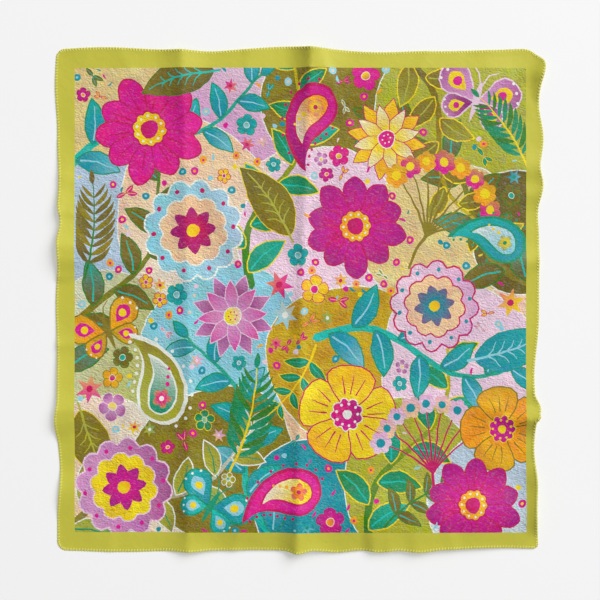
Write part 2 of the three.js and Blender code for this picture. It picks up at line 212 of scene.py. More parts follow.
# Inks, as red, green and blue from 0 to 255
INKS = {
    "border": (203, 198, 68),
    "magenta": (221, 42, 150),
    "rose": (233, 30, 140),
    "raspberry": (200, 25, 100),
    "plum": (150, 45, 125),
    "orchid": (219, 160, 205),
    "blush": (238, 209, 226),
    "teal": (10, 150, 165),
    "turquoise": (40, 190, 175),
    "green": (20, 150, 110),
    "moss": (60, 130, 50),
    "olive": (112, 100, 42),
    "khaki": (140, 125, 40),
    "lime": (180, 181, 74),
    "mustard": (205, 165, 20),
    "yellow": (245, 215, 20),
    "orange": (250, 170, 40),
    "peach": (243, 206, 168),
    "sand": (228, 206, 148),
    "sky": (152, 211, 225),
    "mist": (184, 204, 223),
    "white": (238, 241, 232),
}


# The outline of the laid cloth
def mix(a, b, share):
    return a + (b - a) * share


def wave(distance, reach):
    """1 at the middle of a wave and 0 at its reach, with no kink at either."""
    return (1 + math.cos(math.pi * min(1, abs(distance) / reach))) / 2


def swing_of(side, along):
    return sum(w["swing"] * wave(along - w["at"], w["reach"]) for w in EDGE_WAVES[side])


def side_line(side, along):
    """The place on a side's wavy line, before its corners are rounded."""
    row = SIDES[side]
    return row["out"] * (row["line"] + swing_of(side, along)) + row["along"] * along


def sign_of(side):
    out = SIDES[side]["out"]
    return 1 if out.real + out.imag > 0 else -1


def corner_end(side, corner):
    """Where a side ends at a corner, and where the corner begins to take it."""
    other = corner["y"] if corner["x"] == side else corner["x"]
    sign = sign_of(other)
    if "cut" in corner:
        start = corner["cut"][side] - sign * CUT_BEND
        near = side_line(side, corner["cut"][side])
        far = side_line(other, corner["cut"][other])
        return {"sign": sign, "start": start, "end": start + sign * CUT_COUNT, "near": near, "far": far}
    swing = swing_of(other, sign_of(side) * SIDES[side]["line"])
    end = sign * (SIDES[other]["line"] + swing)
    return {"sign": sign, "start": end - sign * corner["round"], "end": end, "round": corner["round"]}


CORNER_ENDS = {s: [corner_end(s, c) for c in CORNERS if s in (c["x"], c["y"])] for s in SIDES}
SIDE_ENDS = {s: tuple(sorted(e["end"] for e in ends)) for s, ends in CORNER_ENDS.items()}


def cut_point(side, end, share):
    """A point of a cut corner: round the bend, then straight to the cut's middle."""
    near, far = end["near"], end["far"]
    past = mix(near, far, CUT_BEND / abs(far - near))
    if share > BEND_COUNT:
        return mix(past, (near + far) / 2, (share - BEND_COUNT) / (1 - BEND_COUNT))
    bent = share / BEND_COUNT
    return mix(mix(side_line(side, end["start"]), near, bent), mix(near, past, bent), bent)


def outline_point(side, along):
    """A point of the outline: along a side and round to the middle of its corners."""
    for end in CORNER_ENDS[side]:
        share = min(1, (along - end["start"]) / (end["end"] - end["start"]))
        if share <= 0:
            continue
        if "near" in end:
            return cut_point(side, end, share)
        angle = share * math.pi / 4
        point = side_line(side, end["start"] + end["sign"] * end["round"] * math.sin(angle))
        return point - SIDES[side]["out"] * end["round"] * (1 - math.cos(angle))
    return side_line(side, along)


def inset_point(side, along, inset):
    """The same point moved into the cloth, square to the outline."""
    low, high = SIDE_ENDS[side]
    heading = outline_point(side, min(high, along + 0.5)) - outline_point(side, max(low, along - 0.5))
    inward = heading / abs(heading) * 1j
    out = SIDES[side]["out"]
    if (inward * out.conjugate()).real > 0:
        inward = -inward
    return outline_point(side, along) + inward * inset


def outline_middle():
    """The middle of the outline's box, which the frame's origin is under."""
    points = [
        outline_point(side, low + (high - low) * k / 400)
        for side, (low, high) in SIDE_ENDS.items()
        for k in range(401)
    ]
    across = [p.real for p in points]
    up = [p.imag for p in points]
    return complex(min(across) + max(across), min(up) + max(up)) / 2


MIDDLE = outline_middle()


# From the cut to the laid cloth
def printed_place(place):
    """Where a point of the printed field lies."""
    across = (place.real + PRINT_HALF) / (2 * PRINT_HALF)
    up = (place.imag + PRINT_HALF) / (2 * PRINT_HALF)
    return complex(mix(PRINT["left"], PRINT["right"], across), mix(PRINT["bottom"], PRINT["top"], up))


def laid_place(place, edge_inset):
    """Where a point of the cut lies on the surface. The cut's edge stops short of the
    outline by the inset."""

    def edge(side, along):
        return inset_point(side, along, edge_inset)

    inner = complex(
        max(-PRINT_HALF, min(PRINT_HALF, place.real)), max(-PRINT_HALF, min(PRINT_HALF, place.imag))
    )
    at = printed_place(inner)
    border = CUT_HALF - PRINT_HALF
    a = abs(place.real - inner.real) / border
    b = abs(place.imag - inner.imag) / border
    x_side = "right" if place.real > 0 else "left"
    y_side = "top" if place.imag > 0 else "bottom"
    if a and b:
        x_end = SIDE_ENDS[y_side][place.real > 0]
        y_end = SIDE_ENDS[x_side][place.imag > 0]
        on_row, on_column = edge(y_side, at.real), edge(x_side, at.imag)
        tip = edge(y_side, x_end)
        rows = mix(mix(at, on_column, a), edge(y_side, mix(at.real, x_end, a)), b)
        columns = mix(mix(at, on_row, b), edge(x_side, mix(at.imag, y_end, b)), a)
        return rows + columns - mix(mix(at, on_column, a), mix(on_row, tip, a), b)
    if b:
        return mix(at, edge(y_side, at.real), b)
    if a:
        return mix(at, edge(x_side, at.imag), a)
    return at


def ridge_lift(row, places):
    """The lift of one ridge over the surface, at an array of laid places."""
    ridge = dict(zip(RIDGE, row))
    heading = ridge["stop"] - ridge["start"]
    length = abs(heading)
    local = (places - ridge["start"]) * heading.conjugate() / length
    along = np.clip(local.real, 0, length)
    aside = local.imag - ridge["bow"] * np.sin(np.pi * along / length)
    first, middle, last = ridge["lifts"]
    near_start = np.maximum(0, 1 - along / ridge["run"]) ** 2
    near_end = np.maximum(0, 1 - (length - along) / ridge["run"]) ** 2
    lift = middle + (first - middle) * near_start + (last - middle) * near_end
    spread = NARROWEST_FLANK + (1 - NARROWEST_FLANK) * lift / max(ridge["lifts"])
    share = np.minimum(1, np.abs(aside) / (np.where(aside > 0, ridge["left"], ridge["right"]) * spread))
    crest = ridge["crest"]
    soft = np.hypot(share, crest) - crest
    return lift * (1 - soft / (math.hypot(1, crest) - crest)) ** 2


def lift_at(places, ripple):
    """How high the cloth lies at an array of laid places, with a soft unevenness."""
    lift = sum(ridge_lift(row, places) for row in [*FOLDS.values(), *CREASES.values()])
    uneven = [
        noise.noise(Vector((p.real / 62, p.imag / 62, 0))) + 0.4 * noise.noise(Vector((p.real / 27, p.imag / 27, 5)))
        for p in places
    ]
    return lift + ripple * np.maximum(0, np.array(uneven) + 0.45)


# Outlines of painted shapes, as complex numbers that run round anticlockwise
def blob(radius, points=14, wobble=0.03, phase=0.0):
    """A round spot drawn by hand."""
    return [
        cmath.rect(radius * (1 + wobble * math.sin(3 * a + phase) + wobble * math.sin(2 * a - phase) / 2), a)
        for a in np.linspace(0, math.tau, points, endpoint=False)
    ]


def petal(length, width, widest=0.6, blunt=0.7, bend=0.0, steps=12):
    """A petal, leaf or drop from 0 along X. It curls by its bend towards the tip."""
    power = math.log(0.5) / math.log(widest)
    shares = [(1 - math.cos(math.pi * k / steps)) / 2 for k in range(1, steps)]
    halves = [complex(length * s, width / 2 * math.sin(math.pi * s**power) ** blunt) for s in shares]
    points = [0, *(h.conjugate() for h in halves), complex(length), *reversed(halves)]
    return [z * cmath.exp(1j * bend * (z.real / length) ** 2) for z in points]


def scallops(radius, count, depth=0.14, steps=4):
    """A disc with a scalloped edge."""
    angles = np.linspace(0, math.tau, count * steps, endpoint=False)
    return [cmath.rect(radius * (1 - depth + depth * abs(math.sin(count * a / 2)) ** 0.7), a) for a in angles]


def star(outer, inner, count):
    return [cmath.rect(outer if k % 2 == 0 else inner, math.pi * k / count) for k in range(2 * count)]


def curve(length, bend, steps=8):
    """A path from 0 that sets off along X and turns by its bend."""
    path, at = [0j], 0j
    for k in range(steps):
        at += length / steps * cmath.exp(1j * bend * (k + 0.5) / steps)
        path.append(at)
    return path


def band(path, start, stop):
    """A brush stroke along a path, from one width to another."""
    count = len(path)
    left, right = [], []
    for k, at in enumerate(path):
        heading = path[min(count - 1, k + 1)] - path[max(0, k - 1)]
        side = heading / abs(heading) * 1j * mix(start, stop, k / (count - 1)) / 2
        left.append(at + side)
        right.append(at - side)
    first = path[0] - (path[1] - path[0]) / abs(path[1] - path[0]) * start / 2
    last = path[-1] + (path[-1] - path[-2]) / abs(path[-1] - path[-2]) * stop / 2
    return [first, *right, last, *reversed(left)]


def inset_outline(outline, by):
    """An outline moved in by a distance, a little more at its sharp tips."""
    points = []
    for before, at, after in zip([outline[-1], *outline], outline, [*outline[1:], outline[0]]):
        a, b = at - before, after - at
        if not abs(a) or not abs(b):
            continue
        inward = a / abs(a) * 1j + b / abs(b) * 1j
        size = abs(inward)
        points.append(at + inward / max(size, 0.3) * by * min(2.2, 2 / max(size, 0.3)))
    return points


def area_of(outline):
    return sum((a.conjugate() * b).imag for a, b in zip(outline, [*outline[1:], outline[0]])) / 2


class Artwork:
    """The painted shapes in the order of painting, and the places that they take up."""

    CELL = 4.0

    def __init__(self, seed):
        self.shapes = []
        self.random = random.Random(seed)
        count = int(2 * PRINT_HALF / self.CELL)
        self.taken = np.zeros((count, count), bool)
        places = -PRINT_HALF + (np.arange(count) + 0.5) * self.CELL
        self.cells = places[None, :] + 1j * places[:, None]

    def shape(self, outline, ink, wash=None, heading=1, grain=0.8, ground=False):
        """Adds one shape, with its ink turning into the wash along its heading."""
        if not ground:
            self.take(outline)
        self.shapes.append({"outline": outline, "ink": ink, "wash": wash or ink, "heading": heading, "grain": grain})

    def take(self, outline):
        points = np.array(outline)
        low = np.floor((np.array([points.imag.min(), points.real.min()]) + PRINT_HALF) / self.CELL).astype(int)
        high = np.ceil((np.array([points.imag.max(), points.real.max()]) + PRINT_HALF) / self.CELL).astype(int)
        low, high = np.clip(low, 0, len(self.taken)), np.clip(high, 0, len(self.taken))
        cells = self.cells[low[0] : high[0], low[1] : high[1]]
        inside = np.zeros(cells.shape, bool)
        for a, b in zip(outline, [*outline[1:], outline[0]]):
            if a.imag == b.imag:
                continue
            crosses = (a.imag > cells.imag) != (b.imag > cells.imag)
            inside ^= crosses & (cells.real < a.real + (cells.imag - a.imag) * (b.real - a.real) / (b.imag - a.imag))
        self.taken[low[0] : high[0], low[1] : high[1]] |= inside

    def free_place(self, radius, tries):
        """A place in the printed field with nothing within the radius, or None."""
        reach = PRINT_HALF - radius * 0.3
        for _ in range(tries):
            place = complex(self.random.uniform(-reach, reach), self.random.uniform(-reach, reach))
            if not (self.taken & (abs(self.cells - place) < radius)).any():
                return place
        return None


class Stamp:
    """Paints on the artwork at one place, size and turn."""

    def __init__(self, art, place, size=1.0, turn=0.0):
        self.art = art
        self.place = place
        self.scale = cmath.rect(size, turn)

    def at(self, place=0j, size=1.0, turn=0.0):
        made = Stamp(self.art, self.place + self.scale * place)
        made.scale = self.scale * cmath.rect(size, turn)
        return made

    def fill(self, outline, ink, wash=None, line=None, width=2.1, grain=0.8):
        """A shape in one ink, with a line of another ink round it if that is given."""
        placed = [self.place + self.scale * z for z in outline]
        heading = self.scale / abs(self.scale)
        if line:
            self.art.shape(placed, line, None, heading, grain)
            placed = inset_outline(placed, width)
            if area_of(placed) < 4:
                return
        self.art.shape(placed, ink, wash, heading, grain)


# Motifs, each about 1 in reach, painted in the inks of a colourway
COLOURWAYS = {
    "pink": ("magenta", "rose", "raspberry", "yellow", "orange"),
    "berry": ("magenta", "plum", "raspberry", "orange", "yellow"),
    "lilac": ("orchid", "plum", "blush", "yellow", "magenta"),
    "sun": ("yellow", "orange", "raspberry", "rose", "white"),
    "marigold": ("orange", "mustard", "khaki", "magenta", "yellow"),
    "sea": ("teal", "turquoise", "green", "sky", "yellow"),
    "ice": ("sky", "mist", "white", "peach", "raspberry"),
    "leaf": ("green", "moss", "yellow", "turquoise", "white"),
    "bronze": ("olive", "khaki", "moss", "turquoise", "mustard"),
    "olive": ("khaki", "olive", "yellow", "lime", "rose"),
    "citrus": ("lime", "khaki", "white", "green", "rose"),
    "candy": ("blush", "orchid", "raspberry", "peach", "teal"),
}


def daisy(stamp, inks, petals=10):
    """Round petals with a line down each, about a dotted heart."""
    main, shade, line, heart, spot = inks
    for k in range(petals):
        leafed = stamp.at(turn=math.tau * k / petals + 0.07 * math.sin(5 * k))
        leafed.fill(petal(1.0 + 0.06 * math.sin(3 * k), 0.5, 0.68, 0.6), main, shade, line)
        leafed.fill(band([0.38 + 0j, 0.76 + 0.02j], 0.03, 0.015), line)
    stamp.fill(scallops(0.34, petals, 0.1), heart, spot, line)
    stamp.fill(blob(0.17, 12, 0.05), line, main, grain=0.5)
    for k in range(petals):
        stamp.at(cmath.rect(0.24, math.tau * (k + 0.5) / petals)).fill(blob(0.026, 7), "white", grain=0.3)


def pompom(stamp, inks, lobes=12):
    """Scalloped rounds, one on the other, with a small many-petalled flower on top."""
    main, shade, line, ring, heart = inks
    stamp.fill(scallops(1.0, lobes, 0.13), main, shade, line, 2.4, 1.0)
    stamp.fill(scallops(0.7, lobes - 2, 0.12), ring, None, line, 2.0, 1.0)
    for k in range(lobes - 2):
        spoke = stamp.at(turn=math.tau * k / (lobes - 2))
        spoke.at(0.79 + 0j).fill(blob(0.045, 8), heart, grain=0.4)
    for k in range(8):
        stamp.at(turn=math.tau * k / 8).fill(petal(0.46, 0.24, 0.6, 0.8, steps=5), heart, "plum")
    stamp.fill(blob(0.13, 10), "yellow", "orange", grain=0.4)


def paisley(stamp, inks):
    """A curled drop, set in its own rim, with a sprig inside and seeds round it."""
    main, shade, line, inner, spot = inks
    body = stamp.at(-0.45 + 0j)
    body.fill(petal(1.7, 1.02, 0.32, 0.72, 0.75, 12), line, grain=0.5)
    body.at(0.05 + 0.01j).fill(petal(1.55, 0.88, 0.32, 0.72, 0.75, 12), main, shade, grain=0.7)
    body.at(0.17 + 0.01j).fill(petal(1.12, 0.58, 0.34, 0.75, 0.6, 10), line, None, grain=0.4)
    body.at(0.2 + 0.01j).fill(petal(1.04, 0.5, 0.34, 0.75, 0.6, 10), inner, "white", grain=0.9)
    heart = body.at(0.48 + 0.02j)
    for k in range(5):
        heart.at(turn=math.tau * k / 5).fill(petal(0.19, 0.15, 0.62, 0.7, steps=4), spot, main)
    heart.fill(blob(0.05, 8), line, grain=0.3)
    for k in range(3):
        body.at(0.76 + 0.13 * k + (0.05 + 0.055 * k) * 1j).fill(blob(0.045 - 0.009 * k, 8), spot, grain=0.3)
    for k in range(15):
        share = 0.09 + 0.8 * abs(2 * k / 14 - 1)
        side = 1 if k > 7 else -1
        half = 0.51 * math.sin(math.pi * share ** (math.log(0.5) / math.log(0.32))) ** 0.72 + 0.08
        seed = complex(1.7 * share, side * half) * cmath.exp(0.75j * share**2)
        body.at(seed).fill(blob(0.034, 7), line, grain=0.3)


def broad_leaf(stamp, inks):
    """One large leaf with a midrib and side veins in a light ink."""
    main, shade, line, vein, _ = inks
    stamp.fill(petal(2.0, 0.95, 0.42, 0.85, 0.16, 10), main, shade, line, 1.2)
    spine = [z * cmath.exp(0.16j * (z.real / 2) ** 2) for z in np.linspace(-0.16, 1.78, 9) + 0j]
    for k in range(5):
        at = spine[k + 2]
        reach = 0.4 - 0.055 * k
        for side in (1, -1):
            vein_path = [at, at + cmath.rect(reach * 0.55, side * 0.62), at + cmath.rect(reach, side * 0.82)]
            stamp.fill(band(vein_path, 0.035, 0.018), vein, grain=0.5)
    stamp.fill(band(spine, 0.06, 0.025), vein, grain=0.5)


def frond(stamp, inks, pairs=9):
    """A fern's frond, its leaflets shorter towards the tip."""
    main, shade, line, _, _ = inks
    path = curve(2.0, 0.45, 12)
    for k in range(pairs):
        share = 0.16 + 0.78 * k / pairs
        at = path[round(share * 12)] if k == 0 else np.interp(share * 12, range(13), np.real(path)) + 1j * (
            np.interp(share * 12, range(13), np.imag(path))
        )
        size = 0.62 * math.sin(math.pi * (0.22 + 0.7 * share)) + 0.05
        for side in (1, -1):
            leaflet = stamp.at(complex(at), size, 0.45 * share + side * 0.95)
            leaflet.fill(petal(1.0, 0.2, 0.45, 0.8, -side * 0.25, 6), main if (k + side) % 3 else shade, shade)
    stamp.at(path[-1], 0.3, 0.45).fill(petal(1.0, 0.4, 0.45, 0.8, steps=6), main, shade)
    stamp.fill(band(path, 0.05, 0.02), line, grain=0.5)


def sprig(stamp, inks, pairs=4, bend=-0.6):
    """A curved stem of pointed leaves with a bud on its end."""
    main, shade, line, vein, bud = inks
    steps = 2 * pairs + 2
    path = curve(2.0, bend, steps)
    for k in range(pairs):
        at = path[2 * k + 2]
        for side in (1, -1):
            turn = bend * (2 * k + 2) / steps + side * (0.95 - 0.08 * k)
            leafed = stamp.at(at, 0.64 - 0.08 * k, turn)
            leafed.fill(petal(1.0, 0.44, 0.45, 0.85, side * 0.22, 7), main, shade, line, 1.1)
            leafed.fill(band([0.14 + 0j, 0.76 + side * 0.1j], 0.045, 0.02), vein, grain=0.5)
    stamp.fill(band(path, 0.055, 0.03), line, grain=0.5)
    tip = stamp.at(path[-1], 0.4, bend)
    for turn in (-0.5, 0.5, 0):
        tip.at(turn=turn).fill(petal(1.0, 0.46, 0.5, 0.8, steps=6), bud, main)


def umbel(stamp, inks, rays=9):
    """A fan of stalks with a round floret on each."""
    main, shade, line, floret, spot = inks
    root = -0.9 + 0j
    for k in range(rays):
        turn = 1.9 * (k / (rays - 1) - 0.5)
        path = [root + z * cmath.exp(1j * turn * 0.75) for z in curve(1.25 + 0.22 * math.cos(turn * 1.4), turn * 0.5, 5)]
        stamp.fill(band(path, 0.05, 0.022), line, grain=0.5)
        head = stamp.at(path[-1], 0.2 + 0.02 * (k % 3))
        head.fill(scallops(1.0, 6, 0.22, 4), floret if k % 2 else main, shade, None)
        head.fill(blob(0.4, 8), spot, grain=0.4)
    stamp.fill(band([root - 0.7, root - 0.3 + 0.03j, root + 0.05], 0.05, 0.07), line, grain=0.5)


def butterfly(stamp, inks):
    """A butterfly with spotted wings."""
    main, shade, line, inner, spot = inks
    for side in (1, -1):
        for size, turn, ink in ((1.0, 0.52, main), (0.74, -0.5, shade)):
            wing = stamp.at(0.02 * side + 0.03j, size, math.pi / 2 - side * (math.pi / 2 - turn))
            wing.fill(petal(1.0, 0.74, 0.66, 0.62, steps=8), ink, shade if ink == main else main, line)
            wing.at(0.3 + 0j).fill(petal(0.5, 0.36, 0.62, 0.7, steps=6), inner, None, grain=0.6)
            wing.at(0.56 + 0j).fill(blob(0.1, 9), spot, grain=0.4)
            for k in (-1, 0, 1):
                wing.at(cmath.rect(0.88, 0.24 * k)).fill(blob(0.034, 7), "white", grain=0.3)
        stamp.fill(band([0.3j, 0.62j + 0.12 * side, 0.74j + 0.28 * side], 0.035, 0.02), line, grain=0.4)
    stamp.at(-0.42j, 1, math.pi / 2).fill(petal(0.86, 0.15, 0.6, 0.6), line, grain=0.4)


def star_flower(stamp, inks, rays=8):
    """Two rings of pointed petals about a bright heart."""
    main, shade, line, heart, spot = inks
    for ring, size, ink in ((0.5, 1.0, shade), (0, 0.84, main)):
        for k in range(rays):
            turned = stamp.at(size=size, turn=math.tau * (k + ring) / rays)
            turned.fill(petal(1.0, 0.42, 0.5, 0.95, steps=6), ink, spot if ink == main else main, line, 1.2)
    stamp.fill(blob(0.22, 14, 0.04), heart, line, "white", 1.2)
    for k in range(6):
        stamp.at(cmath.rect(0.1, math.tau * k / 6)).fill(blob(0.022, 6), spot, grain=0.3)


def vine(stamp, inks, leaves=10):
    """A long waving stem with a leaf on each side in turn."""
    main, shade, line, vein, _ = inks
    path = [complex(0.21 * k, 0.3 * math.sin(0.36 * k)) for k in range(21)]
    stamp.fill(band(path, 0.15, 0.05), shade, line)
    for k in range(leaves):
        at = 2 * k + 1
        heading = path[at + 1] - path[at]
        side = 1 if k % 2 else -1
        leafed = stamp.at(path[at], 1 - 0.03 * k, cmath.phase(heading) + side * 0.85)
        leafed.fill(petal(0.92, 0.46, 0.45, 0.85, side * 0.2, 8), main, shade if k % 3 else vein, line, 1.8)
        leafed.fill(band([0.1 + 0j, 0.42 + side * 0.01j, 0.74 + side * 0.1j], 0.035, 0.02), vein, grain=0.5)
    stamp.at(path[-1], 0.5, cmath.phase(path[-1] - path[-2])).fill(petal(0.9, 0.46, 0.45, 0.85), main, shade, line)


def poppy(stamp, inks):
    """Broad petals one over the other, about a dark seeded heart."""
    main, shade, line, heart, spot = inks
    for k in (0, 2, 4, 1, 3):
        turned = stamp.at(turn=math.tau * k / 5 + 0.1 * k)
        turned.fill(petal(1.0, 1.02, 0.7, 0.5, 0.1, 9), main, shade if k % 2 else main, line, 1.8)
        for turn in (-0.28, 0, 0.28):
            turned.fill(band([cmath.rect(0.42, turn), cmath.rect(0.78, turn * 1.1)], 0.03, 0.012), line, grain=0.5)
    stamp.fill(scallops(0.34, 9, 0.16), heart, "plum", spot, 1.4)
    for k in range(9):
        stamp.at(cmath.rect(0.22, math.tau * k / 9)).fill(blob(0.03, 7), spot, grain=0.3)
    stamp.fill(blob(0.1, 9), spot, grain=0.4)


# Small things that fill the gaps
def posy(stamp, inks):
    main, shade, line, heart, _ = inks
    for k in range(5):
        stamp.at(turn=math.tau * k / 5).fill(petal(1.0, 0.86, 0.66, 0.55, steps=6), main, shade, line, 0.9)
    stamp.fill(blob(0.3, 10), heart, line, "white", 0.7, 0.4)


def leaf_pair(stamp, inks):
    main, shade, line, vein, _ = inks
    for turn in (0.45, -0.45, math.pi):
        leafed = stamp.at(turn=turn)
        leafed.fill(petal(1.0, 0.46, 0.5, 0.85, steps=6), main, shade, line, 0.8)
        leafed.fill(band([0.12 + 0j, 0.8 + 0j], 0.06, 0.03), vein, grain=0.4)


def twinkle(stamp, inks):
    main, _, line, heart, _ = inks
    stamp.fill(star(1.0, 0.44, 6), main, heart, grain=0.5)
    stamp.fill(blob(0.24, 7), line, grain=0.4)


def spot(stamp, inks):
    main, _, _, heart, _ = inks
    stamp.fill(blob(0.8, 11, 0.05), main, None, grain=0.5)
    stamp.fill(blob(0.3, 7, 0.05), heart, None, grain=0.4)


def speck(stamp, inks):
    stamp.fill(blob(0.8, 8, 0.08), inks[0], None, grain=0.5)


def dash(stamp, inks):
    stamp.fill(petal(1.6, 0.55, 0.4, 0.8, 0.3, 5), inks[0], None, grain=0.5)


# The large motifs: what, place on the cut, reach, turn in degrees, colourway
LAYOUT = [
    (vine, -336 - 116j, 78, 62, "bronze"),
    (vine, -26 - 334j, 74, 112, "sea"),
    (vine, 96 - 334j, 76, 66, "leaf"),
    (vine, 338 + 18j, 78, 132, "bronze"),
    (vine, -70 + 20j, 76, 76, "leaf"),
    (vine, -338 - 330j, 74, 26, "citrus"),
    (vine, 22 - 52j, 78, -8, "sea"),
    (vine, -330 + 180j, 72, 22, "sea"),
    (vine, 140 + 338j, 70, -64, "olive"),
    (daisy, -214 + 236j, 76, 8, "pink"),
    (broad_leaf, -122 + 316j, 54, -172, "bronze"),
    (paisley, 22 + 268j, 66, 205, "berry"),
    (star_flower, 122 + 222j, 58, 12, "sun"),
    (butterfly, 248 + 272j, 66, -18, "lilac"),
    (frond, -306 + 30j, 66, 72, "bronze"),
    (pompom, -152 + 96j, 72, 5, "ice"),
    (broad_leaf, -14 + 88j, 60, 118, "olive"),
    (daisy, 78 + 102j, 70, 21, "berry"),
    (umbel, 208 + 146j, 72, 62, "marigold"),
    (paisley, 292 + 78j, 60, 118, "sea"),
    (butterfly, -272 - 46j, 58, 24, "marigold"),
    (star_flower, -96 - 22j, 60, 4, "lilac"),
    (sprig, 22 - 62j, 60, 252, "leaf"),
    (pompom, 190 - 8j, 64, 11, "candy"),
    (broad_leaf, 246 - 82j, 60, 12, "sea"),
    (paisley, -196 - 138j, 74, 62, "citrus"),
    (frond, -100 - 236j, 74, 62, "leaf"),
    (poppy, 66 - 158j, 70, 2, "sun"),
    (umbel, 182 - 180j, 66, 96, "candy"),
    (poppy, 286 - 178j, 60, 19, "marigold"),
    (broad_leaf, -312 - 150j, 60, -74, "olive"),
    (pompom, -250 - 258j, 70, 9, "lilac"),
    (butterfly, -128 - 286j, 58, -32, "sea"),
    (paisley, 0 - 264j, 66, 152, "pink"),
    (sprig, 118 - 312j, 62, 48, "bronze"),
    (daisy, 244 - 282j, 66, 14, "berry"),
    (frond, 322 + 182j, 60, 112, "leaf"),
]

# What fills the gaps between them: radius, how many at most, and what with
FILLERS = [
    (24, 16, (posy, twinkle), ("pink", "lilac", "sun", "berry", "ice")),
    (18, 30, (posy, leaf_pair), ("sea", "pink", "bronze", "marigold", "leaf")),
    (12.5, 44, (leaf_pair, twinkle, posy), ("berry", "sea", "sun", "citrus", "lilac")),
    (8, 84, (spot, spot, dash), ("berry", "sea", "ice", "pink", "marigold")),
    (5.5, 50, (speck, dash, speck), ("candy", "berry", "ice", "sea", "sun")),
]


def paint_artwork(seed):
    """The whole print in painting order: ground, large motifs, then what fills the gaps."""
    art = Artwork(seed)
    square = [-1 - 1j, 1 - 1j, 1 + 1j, -1 + 1j]
    art.shape([CUT_HALF * c for c in square], "border", grain=0, ground=True)
    art.shape([PRINT_HALF * c for c in square], "peach", "blush", 1j, 1.0, ground=True)
    for k, (place, radius, ink) in enumerate(PATCHES):
        rim = [place + z for z in blob(radius, 44, 0.06, k * 1.7)]
        art.shape(rim, "white", grain=0.9, ground=True)
        art.shape(inset_outline(rim, 1.6), ink, "white" if k % 4 == 1 else ink, cmath.rect(1, k), 1.0, ground=True)
    for motif, place, size, turn, colourway in LAYOUT:
        motif(Stamp(art, place, size, math.radians(turn)), COLOURWAYS[colourway])
    for radius, most, motifs, colourways in FILLERS:
        for k in range(most):
            place = art.free_place(radius, 60)
            if place is None:
                continue
            turn = art.random.uniform(0, math.tau)
            inks = COLOURWAYS[colourways[k % len(colourways)]]
            motifs[k % len(motifs)](Stamp(art, place, radius * 0.86, turn), inks)
    return art.shapes


# How finely the silk is cut into triangles
BRUSH_STEP = 5  # the longest step along a painted outline
BORDER_STEP = 2.5  # along the border's straight lines
CREST_STEP = 5  # along a ridge
CREST_LINES = (0, 3.5, -3.5)  # lines of points beside a ridge's crest
PRINTED_NET = 1.2  # how much wider the net is in the print, which has the painted outlines
CLEAR = 1.8  # how far the points of the net keep from others


def by_hand(outline):
    """An outline with the small unevenness of a brush, in short steps."""
    points = []
    for a, b in zip(outline, [*outline[1:], outline[0]]):
        steps = max(1, math.ceil(abs(b - a) / BRUSH_STEP))
        points += [mix(a, b, k / steps) for k in range(steps)]
    shaken = []
    for p in points:
        waver = noise.noise_vector(Vector((p.real / 13, p.imag / 13, 1.5)))
        shaken.append(p + complex(waver.x, waver.y) * 1.3)
    return shaken


def clipped(outline, half):
    """The part of an outline that lies in a square about the middle."""
    for turn in (1, 1j, -1, -1j):
        kept = []
        turned = [z * turn for z in outline]
        for a, b in zip(turned, [*turned[1:], turned[0]] if turned else []):
            if a.real <= half:
                kept.append(a)
            if (a.real <= half) != (b.real <= half):
                share = (half - a.real) / (b.real - a.real)
                kept.append(complex(half, mix(a.imag, b.imag, share)))
        outline = [z / turn for z in kept]
    return outline


def plain(outline):
    """An outline with its straight stretches cut into short steps."""
    points = []
    for a, b in zip(outline, [*outline[1:], outline[0]]):
        steps = max(1, math.ceil(abs(b - a) / BORDER_STEP))
        points += [mix(a, b, k / steps) for k in range(steps)]
    return points


def cell_of(place):
    return round(place.real / CLEAR), round(place.imag / CLEAR)


def in_print(place):
    return max(abs(place.real), abs(place.imag)) < PRINT_HALF


def staggered(step):
    """Places in rows over the whole cut, every other row set off by half a step."""
    count = round(2 * CUT_HALF / step)
    return [
        complex(-CUT_HALF + step * (i + 0.25 + 0.5 * (j % 2)), -CUT_HALF + step * (j + 0.5))
        for j in range(count)
        for i in range(count)
    ]


def net_points(step, near):
    """Places all over the cut for the cloth to bend at, clear of the outlines."""
    places = [p for p in staggered(step) if not in_print(p)]
    places += [p for p in staggered(step * PRINTED_NET) if in_print(p)]
    to_cut = 2 * PRINT_HALF / (PRINT["right"] - PRINT["left"])
    for row in [*FOLDS.values(), *CREASES.values()]:
        ridge = dict(zip(RIDGE, row))
        heading = ridge["stop"] - ridge["start"]
        length = abs(heading)
        for k in range(round(length / CREST_STEP)):
            along = (k + 0.5) * CREST_STEP
            bow = ridge["bow"] * math.sin(math.pi * along / length)
            for aside in CREST_LINES:
                place = ridge["start"] + heading / length * (along + 1j * (bow + aside))
                places.append(complex((place.real - PRINT["left"]) * to_cut - PRINT_HALF, place.imag))
    inside = CUT_HALF - 2
    free = []
    for p in places:
        cell = cell_of(p)
        around = [(cell[0] + i, cell[1] + j) for i in (-1, 0, 1) for j in (-1, 0, 1)]
        if abs(p.real) > inside or abs(p.imag) > inside or any(c in near for c in around):
            continue
        near.add(cell)
        free.append(p)
    return free


